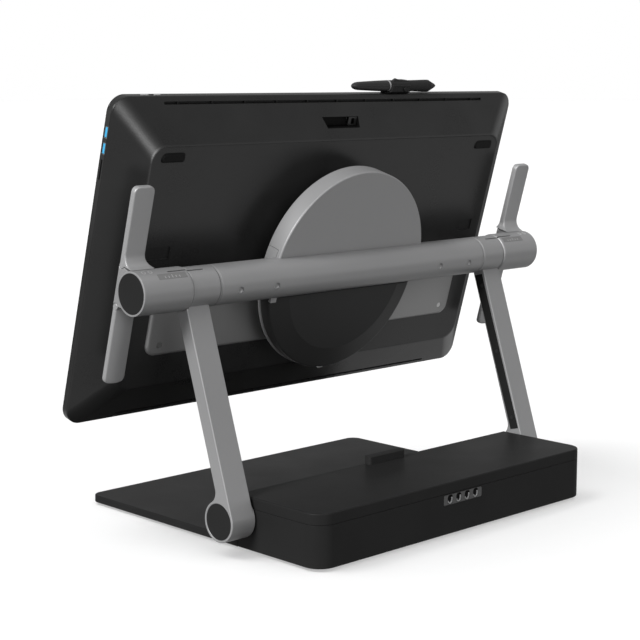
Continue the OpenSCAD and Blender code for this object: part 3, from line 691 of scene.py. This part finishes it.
def end_housing(side, name):
    """Barrel at one end of the crossbar, with its lever spine, slot, angle window and marks."""
    r, x0, x1 = HOUSING_R, HOUSING_IN, HOUSING_OUT
    outside = [(x0, r - 2.2), (x0 + 0.3, r - 1.3), (x0 + 0.9, r - 0.55), (x0 + 1.7, r - 0.12), (x0 + 2.6, r),
               (x1 - 1.0, r), (x1 - 0.3, r - 0.3), (x1, r - 1.0), (x1 - 0.1, 22.9), (x1 - 2, 22.7)]
    housing = to_object(f"end_barrel_{name}", turned(outside, n=128), HEAD)
    upper = arc(PIN_Y, PIN_Z, PIN_WRAP, 342, 198, 10)
    spine = [(y, -z) for y, z in upper[::-1]] + [(-12.6, -21.8), (-12.6, 21.8)] + upper
    weld(housing, HEAD, slab(spine, BLADE_IN, BLADE_OUT, sideways, 0.8, 0.8, 3))
    slot = slab(rounded(x0 - 2, SLOT_OUT, -1.1, 1.1, 0.9, 3), r - 2.2, r + 2, around(SLOT_TURN))
    patch = slab(rounded(*WINDOW_X, -4, 4, 0.6, 3), r - 0.5, r + 2, around(WINDOW_TURN))
    cut(housing, HEAD, slot, patch)
    marks = [to_object(f"lever_mark_{name}_{i}", ring_mark(x, r), HEAD) for i, x in enumerate(MARK_X)]
    scale = [slab([(x, -2.4), (x + 0.5, -2.4), (x + 0.5, tall), (x, tall)], r - 0.3, r - 0.16,
                  around(WINDOW_TURN)) for x, tall in TICKS]
    ticks = to_object(f"angle_scale_{name}", scale[0], HEAD)
    weld(ticks, HEAD, *scale[1:])
    parts = [(housing, "grey_coat"), (ticks, "light_ring")] + [(m, "light_ring") for m in marks]
    for piece, look in parts:
        if side < 0:
            mirror(piece)
        place_piece(piece, "head", look, stands_for=[f"end_housing_{name}"] if piece == housing else ())


def ring_mark(x, r):
    """Thin raised ring on top of the housing, one at each lever's own side."""
    on = around(84)
    rim = [(2.9, r - 0.3), (2.9, r + 0.02), (1.8, r + 0.02), (1.8, r - 0.3)]
    bm = bmesh.new()
    loops = []
    for ring, height in rim:
        loops.append([bm.verts.new(on(u, t, height - t * t / (2 * r))) for u, t in circle(ring, x)])
    for low, high in zip(loops, loops[1:] + loops[:1]):
        for i in range(len(low)):
            j = (i + 1) % len(low)
            bm.faces.new((low[i], low[j], high[j], high[i]))
    return bm


def blade_section(z, reach, foot, crown):
    """Closed outline of a lever at a height: flared and filleted at the root, rounded at the tip."""
    x0, x1, y0, y1 = BLADE_IN, BLADE_OUT, BLADE_FRONT, BLADE_REAR
    r = 1.7
    if foot:
        rise = SIDE_FILLET_END - z
        x0 -= SIDE_FILLET - math.sqrt(SIDE_FILLET ** 2 - rise * rise) if rise > 0 else 0
        rise = REAR_FILLET_END - z
        y1 += REAR_FILLET - math.sqrt(REAR_FILLET ** 2 - rise * rise) if rise > 0 else 0
    tip = max(0, z - (reach - TIP_R))
    side_in = TIP_R - math.sqrt(TIP_R ** 2 - min(tip, 6.9) ** 2)
    edge = max(0, z - (reach - TIP_EDGE))
    face_in = TIP_EDGE - math.sqrt(TIP_EDGE ** 2 - min(edge, 1.75) ** 2)
    x0, x1, y0, y1 = x0 + side_in, x1 - side_in, y0 + face_in, y1 - face_in
    middle, half = (x0 + x1) / 2, (x1 - x0) / 2
    points = []
    lower = [(x0 + r + (x1 - x0 - 2 * r) * i / 6, y0) for i in range(1, 6)]
    upper = [(x1 - r - (x1 - x0 - 2 * r) * i / 6, y1) for i in range(1, 6)]
    corners = [arc(x0 + r, y0 + r, r, 180, 270, 5), arc(x1 - r, y0 + r, r, 270, 360, 5),
               arc(x1 - r, y1 - r, r, 0, 90, 5), arc(x0 + r, y1 - r, r, 90, 180, 5)]
    for x, y in corners[0] + lower + corners[1] + corners[2] + upper + corners[3]:
        if y > (y0 + y1) / 2:
            y -= crown * ((x - middle) / half) ** 2
        points.append((x, y, z))
    return points


def lever(side, name, down, reach, node):
    """Blade with a knuckle round its pin; the lower one is the upper one's mirror, with no foot."""
    heights = [PIN_Z + i for i in range(16)] + [44, 60, 80, 98, reach - TIP_R]
    heights += [reach - TIP_R + TIP_R * math.sin(math.radians(a)) for a in (20, 38, 52, 62, 70, 76, 81, 86)]
    blade = loft([blade_section(z, reach, not down, 2.2 if down else 0.5) for z in heights])
    piece = to_object(name, blade, HEAD)
    knuckle = [(BLADE_IN, KNUCKLE_R - 0.4), (BLADE_IN + 0.4, KNUCKLE_R)]
    knuckle += [(BLADE_OUT - 0.4, KNUCKLE_R), (BLADE_OUT, KNUCKLE_R - 0.4)]
    weld(piece, HEAD, turned(knuckle, (PIN_Y, PIN_Z), 48))
    cut(piece, HEAD, turned([(285, HOUSING_R + 0.4), (345, HOUSING_R + 0.4)], n=128))
    if down:
        piece.data.transform(HEAD @ Matrix.Scale(-1, 4, (0, 0, 1)) @ HEAD.inverted())
        piece.data.flip_normals()
    if side < 0:
        mirror(piece)
    place_piece(piece, node, "lever_coat", stands_for=[node])


def hub_details():
    """Wedge lug under the crossbar, and the small catch under the hub."""
    wedge = [(-21.5, -26.4), (-21.5, -27.6), (-6.5, -34.2), (-3.4, -34.2), (-3.4, -26.4)]
    lug = to_object("hub_lug", slab(wedge, 112, 121.2, sideways, 0.4, 0.5, 2), HEAD)
    place_piece(lug, "head", "grey_coat")
    low, high = span("rotation_catch", HEAD)
    y0, y1 = low.y + 0.6, high.y - 0.6
    stem = slab(rounded(-2.9, 2.9, y0, y1, 0.8, 4), low.z + 2, high.z, upright, 0.3, 0.3, 2)
    place_piece(to_object("catch_stem", stem, HEAD), "rotation_catch", "dark_plastic",
                ["rotation_catch"])
    knob = slab(rounded(-3.9, 3.9, y0, y1, 1.2, 5), low.z + 0.05, low.z + 3.3, upright, 0.8, 0.5, 3)
    place_piece(to_object("catch_knob", knob, HEAD), "rotation_catch", "light_ring")


def plugs():
    """Dished plugs that close the screw wells of the crossbar."""
    dish = [(4.15, 21.3), (4.15, 22.9), (3.95, 23.1), (3.6, 22.95), (2.9, 22.2), (1.9, 21.75), (0.6, 21.55)]
    for i, x in enumerate(s * x for s in (-1, 1) for x in PLUG_X):
        plug = to_object(f"plug_{i}", plug_rear(x, dish), HEAD)
        place_piece(plug, "head", "grey_coat", stands_for=["tube_plugs"])


# ---------- pen ----------

PEN_TAIL = span("pen_barrel", HEAD)[1].x
PEN_AXIS = ((span("pen_ring", HEAD)[0].y + span("pen_ring", HEAD)[1].y) / 2,
            (span("pen_ring", HEAD)[0].z + span("pen_ring", HEAD)[1].z) / 2)
HOLDER_X = -110
PEN_R = (span("pen_grip", HEAD)[1].z - span("pen_grip", HEAD)[0].z) / 2
SWITCH_AT = 85
ROCKER_HALF = 14.3


def in_pen(u, w, h):
    """Along X, and across and above the pen's axis, to the head frame."""
    return (u, PEN_AXIS[0] + w, PEN_AXIS[1] + h)


def pen_part(name, points, body, look, node, slot=None, *cuts):
    """Turned piece of the pen; points are (distance from the tail, radius)."""
    piece = to_object(name, turned([(PEN_TAIL - t, r) for t, r in points], PEN_AXIS, 64), HEAD)
    if cuts:
        cut(piece, HEAD, *cuts)
    place_piece(piece, body, look, [node])


def pen():
    """Tail, band, grip, point and rocker; the profiles are (distance from the tail, radius)."""
    tail = [(0.2, 0), (0.2, 1.3), (0.9, 2.3), (2.6, 3.4), (6, 4.5), (10, 5.05), (20, 5.55), (42, 6.5),
            (61.6, 7.1), (62, 6.8), (62, 0)]
    pen_part("pen_body", tail, "pen", "pen_black", "pen_barrel")
    pen_part("pen_band", [(62.05, 0), (62.05, 6.9), (62.3, 7.2), (64.1, 7.2), (64.4, 6.9), (64.4, 0)],
             "pen", "grey_coat", "pen_ring", "light_ring")
    front = smooth_profile([(64.8, 7.2), (78, 7.1), (94, 7.05), (108, 7.15), (120, 7.4), (130, PEN_R - 0.05),
                            (136, PEN_R)])
    front = [(64.45, 0), (64.45, 6.9)] + front + [(138, PEN_R - 0.1), (139.4, PEN_R - 0.7), (150.9, 2.4),
                                                  (151.2, 2.0), (151.2, 0)]
    middle = PEN_TAIL - SWITCH_AT
    recess = slab(rounded(middle - 15, middle + 15, -2.7, 2.7, 2.4, 6), 5.2, 12, in_pen)
    pen_part("pen_front", front, "pen", "pen_rubber", "pen_grip", None, recess)
    nib = [(148, 0), (148, 1.0), (152.2, 0.95), (153.6, 0.6), (154, 0)]
    pen_part("pen_point", nib, "pen_nib", "pen_black", "pen_nib")
    rings = []
    for i in range(33):
        u = -ROCKER_HALF + 2 * ROCKER_HALF * i / 32
        crest = 0.9 * (1 - (u / ROCKER_HALF) ** 2) + 1.6 * math.exp(-((u - 8.5) / 3.2) ** 2)
        half = 2.25 * math.sqrt(max(0.02, 1 - (u / 14.6) ** 6))
        rings.append([in_pen(middle + u, w, h) for w, h in rounded(-half, half, 6.4, 7.2 + crest, 0.3, 3)])
    place_piece(to_object("pen_rocker", loft(rings), HEAD), "pen_switch", "pen_black",
                stands_for=["pen_switch"])


def pen_holder():
    """Cradle on the top edge: a foot, a body that widens upwards, a lip in front and a rear button."""
    high = span("pen_holder", HEAD)[1]
    top = frame_high.z
    rear = high.y - 1.6
    tall = high.z - top
    path = [(0.05, 21.6, -2.5, 8.2), (0.8, 22.4, -2.8, 9), (1.8, 20.6, -3.6, 11.2),
            (3.2, 18.6, -4.5, 13.8), (4.8, 17.4, -4.9, 14.9), (tall - 0.8, 16.8, -4.9, 15),
            (tall - 0.1, 16.2, -4.3, 14.4)]
    body = loft([[(HOLDER_X + x, y - GLASS, top + z) for x, y in rounded(-half, half, y0, y1, 2.6, 6)]
                 for z, half, y0, y1 in path])
    holder = to_object("pen_clip", body, HEAD)
    lip = slab(rounded(-19, 19, -2.4 - GLASS, -0.3 - GLASS, 0.6, 3), -8, 1,
               lambda u, y, z: (HOLDER_X + u, y, top + z))
    button = circle(2.6, HOLDER_X - 6, PEN_AXIS[1] - 2, 24)
    weld(holder, HEAD, lip, slab(button, rear - 0.6, high.y - 0.1, facing, 0, 0.5, 3))
    groove = PEN_R + 0.35
    trough = turned([(HOLDER_X - 40, groove), (HOLDER_X + 40, groove)], PEN_AXIS, 64)
    gap = rounded(HOLDER_X - 40, HOLDER_X + 40, PEN_AXIS[0] - groove + 0.05, PEN_AXIS[0] + groove - 0.05,
                  0.1, 1)
    cut(holder, HEAD, trough, slab(gap, PEN_AXIS[1] + 0.5, PEN_AXIS[1] + 30, upright))
    place_piece(holder, "display", "dark_plastic", stands_for=["pen_holder"])


# ---------- arms ----------

BOSS_R = span("arm_pivot_caps", ARM)[1].z + 3.2
ARM_IN, ARM_OUT = 238.2, 270.7
ARM_REAR_TOP = 6.9
ARM_DEPTH = 18.1
COLLAR_IN, COLLAR_OUT, COLLAR_R = 228.2, 267.8, 23.8
COVER_END, COVER_W = 27, 13.3
COVER_REAR = (19.9, 4.5)


def arm_outline():
    """Side outline of the bar: straight rear, straight front, and the blend into the boss."""
    slope = (BOSS_R - ARM_REAR_TOP) / ARM_LENGTH
    top = ARM_LENGTH - 6
    rear_top = (BOSS_R - slope * top, top)
    front_top = (rear_top[0] - ARM_DEPTH, top)
    blend = 14.2
    along = Vector((-slope, 1)).normalized()
    left = Vector((-along.y, along.x))
    start = Vector((BOSS_R - ARM_DEPTH, 0)) + left * blend
    reach = BOSS_R + blend
    run = -start.dot(along) + math.sqrt(start.dot(along) ** 2 - start.length_squared + reach ** 2)
    centre = start + along * run
    touch = math.degrees(math.atan2(-left.y, -left.x))
    boss = math.degrees(math.atan2(-centre.y, -centre.x))
    join = math.degrees(math.atan2(centre.y, centre.x))
    return ([rear_top, front_top] + arc(*centre, blend, touch, boss, 10)
            + arc(0, 0, BOSS_R, join, 360, 40)[1:])


def arm(side, name):
    """Bar with its boss and collar, hollowed for the cap, the end housing, the cover and the slot."""
    bar = to_object(f"arm_bar_{name}", slab(arm_outline(), ARM_IN, ARM_OUT, sideways, 1.1, 1.1), ARM)
    lip = turned([(ARM_IN - 1.6, BOSS_R - 0.6), (ARM_IN - 1, BOSS_R), (ARM_IN + 6, BOSS_R)], n=96)
    collar = turned([(COLLAR_IN, 22.9), (229.1, COLLAR_R), (266.9, COLLAR_R), (COLLAR_OUT, 22.9)],
                    (0, ARM_LENGTH), 128)
    weld(bar, ARM, lip, collar)
    well = turned([(ARM_OUT - 1.25, 20.8), (ARM_OUT - 0.6, 20.8), (ARM_OUT + 1, 22.2)], n=96)
    room = turned([(COLLAR_OUT, 25.5), (277, 25.5)], (0, ARM_LENGTH), 96)
    foot_y, head_y = COVER_REAR
    cover = [(foot_y, COVER_END), (head_y, ARM_LENGTH - COVER_END),
             (head_y - COVER_W, ARM_LENGTH - COVER_END), (foot_y - COVER_W, COVER_END)]
    pocket = slab(inset(cover, -0.15), ARM_IN - 1, ARM_IN + 3, sideways)
    lean = math.degrees(HEAD.col[1].xyz.angle(ARM.col[1].xyz))
    slot = slab(rounded(SLOT_IN, 272, -1.1, 1.1, 0.9, 3), 21.6, 27, around(SLOT_TURN - lean, (0, ARM_LENGTH)))
    cut(bar, ARM, well, room, pocket, slot)
    if side < 0:
        mirror(bar)
    place_piece(bar, "arms", "grey_coat", stands_for=[f"arm_{name}"])


def mirror(piece):
    """Turns a piece into its image on the other side of the middle plane."""
    piece.data.transform(Matrix.Scale(-1, 4, ACROSS))
    piece.data.flip_normals()
    return piece


# ---------- base ----------

LID_SEAM = (51.75, 52.1)
HOOK_PITCH = 15


def base():
    """Rear block with its lid, and the low plate in front of it."""
    low, high = span("base_lid", BASE)
    front, rear = low.y, high.y
    block = rounded(low.x, high.x, front, rear, (1.2, 1.2, 22.3, 22.3), 14)
    foot = span("base_housing", BASE)[0].z
    body = slab(block, foot, LID_SEAM[0], upright, 1.6, 0.35)
    lid = slab(block, LID_SEAM[1], high.z, upright, 0.35, 1.7, 6)
    housing = to_object("base_block", body, BASE)
    clip_low, clip_high = span("cable_clip", BASE)
    recess = slab(rounded(clip_low.x - 0.4, clip_high.x + 0.4, clip_low.z - 0.4, clip_high.z + 0.4, 1.8),
                  rear - 1.25, rear + 1, facing)
    cut(housing, BASE, recess)
    place_piece(housing, "base", "base_plastic", stands_for=["base_housing"])
    top = to_object("base_top", lid, BASE)
    place_piece(top, "base", "base_plastic", stands_for=["base_lid"])

    plate_low, plate_high = span("base_plate", BASE)
    outline = rounded(plate_low.x, plate_high.x, plate_low.y, front - 0.3, (14, 14, 1.2, 1.2), 12)
    tray = to_object("base_front", slab(outline, plate_low.z, plate_high.z, upright, 0.6, 1.4, 5), BASE)
    place_piece(tray, "base", "base_plastic", stands_for=["base_plate"])


def cable_clip():
    """Plate with four openings, each with a hook that holds a cable."""
    low, high = span("cable_clip", BASE)
    plate = slab(rounded(low.x, high.x, low.z, high.z, 1.6), low.y, high.y, facing, 0, 0.3, 3)
    clip = to_object("clip_plate", plate, BASE)
    middle = (low.z + high.z) / 2
    spots = [i * HOOK_PITCH for i in (-1.5, -0.5, 0.5, 1.5)]
    openings = [rounded(x - 4.6, x + 4.6, middle - 5.4, middle + 5.8, 3.4, 6) for x in spots]
    cut(clip, BASE, *[slab(outline, low.y - 2, high.y + 1, facing) for outline in openings])
    place_piece(clip, "base", "clip_grey", ["cable_clip"])
    # painted shade: a near-black sheet behind the openings darkens the recess behind the clip
    inner = rounded(low.x + 1, high.x - 1, low.z + 1, high.z - 1, 1)
    shade_sheet = slab(inner, low.y - 0.35, low.y - 0.05, facing)
    place_piece(to_object("clip_shade_sheet", shade_sheet, BASE), "base", "recess_painted_shade")
    for i, x in enumerate(spots):
        bowl = arc(x, middle - 1.2, 3.9, 180, 360, 16) + arc(x, middle - 1.2, 2.3, 360, 180, 16)
        hook = to_object(f"clip_hook_{i}", slab(bowl, low.y, high.y - 0.2, facing, 0, 0.3, 2), BASE)
        post = rounded(x - 4.2, x - 2.4, middle - 1.6, middle + 2.6, 0.7, 3)
        weld(hook, BASE, slab(post, low.y, high.y - 0.2, facing, 0, 0.3, 2))
        place_piece(hook, "base", "grey_coat")


# ---------- stage ----------


def stage():
    """Pale floor, and a sky that is bright at the horizon and low down; gives back the floor."""
    bm = bmesh.new()
    bmesh.ops.create_grid(bm, x_segments=1, y_segments=1, size=30)
    floor = to_object("floor", bm, Matrix.Identity(4))
    floor.location.z = -0.0002
    pale = coat("floor", grey(0.52), grey(0.54), 0.7, specular=0.05, grain=60, bump=0.02, mottle=2)
    shader = pale.node_tree.nodes["Principled BSDF"]
    shader.inputs["Emission Color"].default_value = (1, 1, 1, 1)
    shader.inputs["Emission Strength"].default_value = 0.42
    floor.data.materials.append(pale)
    floor.visible_diffuse = False
    floor.visible_glossy = False

    world = bpy.data.worlds.new("studio")
    bpy.context.scene.world = world
    world.use_nodes = True
    tree = world.node_tree
    sky = tree.nodes["Background"]
    where = tree.nodes.new("ShaderNodeTexCoord")
    split = tree.nodes.new("ShaderNodeSeparateXYZ")
    level = tree.nodes.new("ShaderNodeMapRange")
    level.inputs["From Min"].default_value = -1
    ramp = tree.nodes.new("ShaderNodeValToRGB")
    link(tree, where.outputs["Generated"], split.inputs["Vector"])
    link(tree, split.outputs["Z"], level.inputs["Value"])
    link(tree, level.outputs["Result"], ramp.inputs["Fac"])
    # (level, brightness), where level 0 is straight down, 0.5 the horizon and 1 straight up
    stops = ((0.12, 0.06), (0.22, 0.75), (0.34, 0.6), (0.4, 0.08), (0.47, 0.12), (0.49, 1.0), (0.54, 1.0),
             (0.62, 0.36), (1.0, 0.5))
    while len(ramp.color_ramp.elements) < len(stops):
        ramp.color_ramp.elements.new(1.0)
    for element, (position, value) in zip(ramp.color_ramp.elements, stops):
        element.position = position
        element.color = (*grey(value), 1)
    link(tree, ramp.outputs["Color"], sky.inputs["Color"])
    return floor


def lights(floor):
    """Soft suns. The last two light only the floor, and only the gloss of the display's back."""
    suns = (  # name, strength, spread in degrees, direction towards the sun
        ("key", 4.7, 22, (0.92, 0.05, 0.58)),
        ("top", 0.45, 45, (-0.1, 0.3, 1.0)),
        ("fill", 0.9, 30, (0.25, 0.885, 0.24)),
        ("backdrop", 2.2, 40, (0.55, -0.5, 1.15)),
        ("hip", 1.6, 20, (-0.12, 1.0, -0.2)),
    )
    lamps = {}
    for name, strength, spread, towards in suns:
        light = bpy.data.lights.new(name, "SUN")
        light.energy = strength
        light.angle = math.radians(spread)
        lamp = bpy.data.objects.new(name, light)
        lamp.rotation_euler = Vector(towards).to_track_quat("Z", "Y").to_euler()
        bpy.context.scene.collection.objects.link(lamp)
        lamps[name] = lamp
    lights_on(lamps["backdrop"], floor, True)
    lights_on(lamps["key"], floor, False)
    lamps["hip"].visible_diffuse = False
    lights_on(lamps["hip"], bpy.data.objects["tablet_back"], True)
    lamps["hip"].light_linking.blocker_collection = lamps["hip"].light_linking.receiver_collection


def lights_on(lamp, thing, only):
    """Makes a lamp light only this thing, or everything but it."""
    group = bpy.data.collections.new(f"{lamp.name}_on_{thing.name}")
    group.objects.link(thing)
    group.collection_objects[0].light_linking.link_state = "INCLUDE" if only else "EXCLUDE"
    lamp.light_linking.receiver_collection = group


def camera():
    """Camera behind the object and to its side; back points from the object towards it."""
    lens = bpy.data.cameras.new("view")
    lens.sensor_width = 36
    lens.lens = 90.26
    lens.clip_end = 100
    eye = bpy.data.objects.new("view", lens)
    back = Vector((0.68729, 0.71102, 0.14859)).normalized()
    eye.location = (1.3926, 1.40636, 0.5281)
    right = Vector((0, 0, 1)).cross(back).normalized()
    eye.rotation_euler = Matrix((right, back.cross(right), back)).transposed().to_euler()
    bpy.context.scene.collection.objects.link(eye)
    bpy.context.scene.camera = eye


floor = stage()
camera()
bpy.context.scene.view_settings.view_transform = "Standard"

back_shell()
lock_plate()
front_frame()
side_ports()
cover_glass()
vent_grilles()
rear_pads()
module()
hub()
hub_details()
crossbar()
for side, name in ((1, "right"), (-1, "left")):
    end_housing(side, name)
    lever(side, f"lever_up_{name}", False, span("tilt_lever_right", HEAD)[1].z, f"tilt_lever_{name}")
    lever(side, f"lever_down_{name}", True, -span("height_lever_right", HEAD)[0].z, f"height_lever_{name}")
plugs()
frame["nodes"]["collar_rings"].data.materials[0] = LOOKS["grey_coat"]
frame["nodes"]["module_screws"].data.materials[0] = LOOKS["steel"]
pen()
pen_holder()
arm(1, "right")
arm(-1, "left")
base()
cable_clip()
lights(floor)
